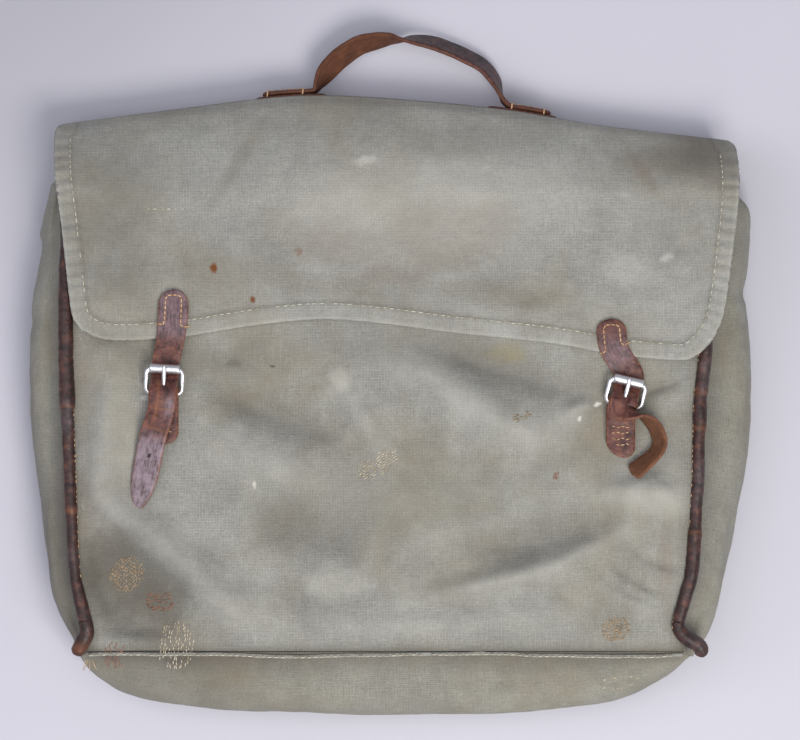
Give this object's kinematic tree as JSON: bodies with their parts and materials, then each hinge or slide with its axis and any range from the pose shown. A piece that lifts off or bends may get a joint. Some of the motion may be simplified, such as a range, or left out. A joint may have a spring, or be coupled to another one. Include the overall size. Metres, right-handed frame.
{
  "type": "mail sack",
  "caption": "Canvas mail sack with side gussets, leather-welted seams, a folding flap closed by leather straps and roller buckles, and a leather carry handle.",
  "frame": {"origin": "on the resting plane, under the middle of the back panel", "axes": "+X across the sack to the right as its front is seen, +Y from its base towards its handle, +Z out of its front"},
  "size_m": [0.439, 0.4155, 0.0745],
  "materials": {
    "canvas": "worn grey-green plain weave",
    "flap_canvas": "worn grey-green plain weave",
    "welt_leather": "dark brown, worn, satin",
    "strap_leather": "red-brown, worn, satin",
    "handle_leather": "dark brown, worn, satin",
    "nickel": "nickel plate, slightly dulled",
    "filler_cord": "natural twisted cord"
  },
  "bodies": {
    "sack": {"back_panel": "canvas", "front_panel": "canvas", "left_gusset": "canvas", "right_gusset": "canvas", "bottom_panel": "canvas", "mouth_hem": "canvas", "top_band": "flap_canvas", "left_piping": "welt_leather", "left_piping_sleeve": "welt_leather", "right_piping": "welt_leather", "right_piping_sleeve": "welt_leather", "left_piping_cord": "filler_cord", "right_piping_cord": "filler_cord", "left_chape": "strap_leather", "right_chape": "strap_leather", "left_handle_tab": "handle_leather", "left_handle_patch": "handle_leather", "right_handle_tab": "handle_leather", "right_handle_patch": "handle_leather"},
    "flap": {"flap": "flap_canvas", "left_strap": "strap_leather", "right_strap": "strap_leather"},
    "handle": {"handle": "handle_leather"},
    "left_tail": {"left_strap_tail": "strap_leather"},
    "left_buckle": {"left_buckle_frame": "nickel"},
    "left_prong": {"left_buckle_prong": "nickel"},
    "left_roller": {"left_buckle_roller": "nickel"},
    "right_tail": {"right_strap_tail": "strap_leather"},
    "right_buckle": {"right_buckle_frame": "nickel"},
    "right_prong": {"right_buckle_prong": "nickel"},
    "right_roller": {"right_buckle_roller": "nickel"}
  },
  "joints": [
    {"name": "flap_open", "type": "hinge", "parent": "sack", "child": "flap", "pos_m": [0, 0.1863, 0.0262], "axis": [-1, 0, 0], "range_deg": [0, 135]},
    {"name": "handle_swing", "type": "hinge", "parent": "sack", "child": "handle", "pos_m": [0.0145, 0.1923, 0.013], "axis": [1, 0, 0], "range_deg": [-30, 20]},
    {"name": "left_tail_lift", "type": "hinge", "parent": "flap", "child": "left_tail", "pos_m": [-0.13451, -0.00429, 0.0714], "axis": [-0.9986, 0.0523, 0], "range_deg": [0, 80]},
    {"name": "left_buckle_swing", "type": "hinge", "parent": "sack", "child": "left_buckle", "pos_m": [-0.134, 0.0055, 0.0667], "axis": [0.9986, -0.0523, 0], "range_deg": [0, 30]},
    {"name": "left_prong_lift", "type": "hinge", "parent": "left_buckle", "child": "left_prong", "pos_m": [-0.134, 0.0055, 0.0667], "axis": [0.9986, -0.0523, 0], "range_deg": [0, 20]},
    {"name": "left_roller_spin", "type": "hinge", "parent": "left_buckle", "child": "left_roller", "pos_m": [-0.13322, 0.02048, 0.06917], "axis": [0.9986, -0.0523, 0], "continuous": true},
    {"name": "right_tail_lift", "type": "hinge", "parent": "flap", "child": "right_tail", "pos_m": [0.14293, -0.01121, 0.0714], "axis": [-0.9703, 0.2419, 0], "range_deg": [0, 80]},
    {"name": "right_buckle_swing", "type": "hinge", "parent": "sack", "child": "right_buckle", "pos_m": [0.1453, -0.0017, 0.0667], "axis": [0.9703, -0.2419, 0], "range_deg": [0, 30]},
    {"name": "right_prong_lift", "type": "hinge", "parent": "right_buckle", "child": "right_prong", "pos_m": [0.1453, -0.0017, 0.0667], "axis": [0.9703, -0.2419, 0], "range_deg": [0, 20]},
    {"name": "right_roller_spin", "type": "hinge", "parent": "right_buckle", "child": "right_roller", "pos_m": [0.14893, 0.01285, 0.06917], "axis": [0.9703, -0.2419, 0], "continuous": true}
  ]
}
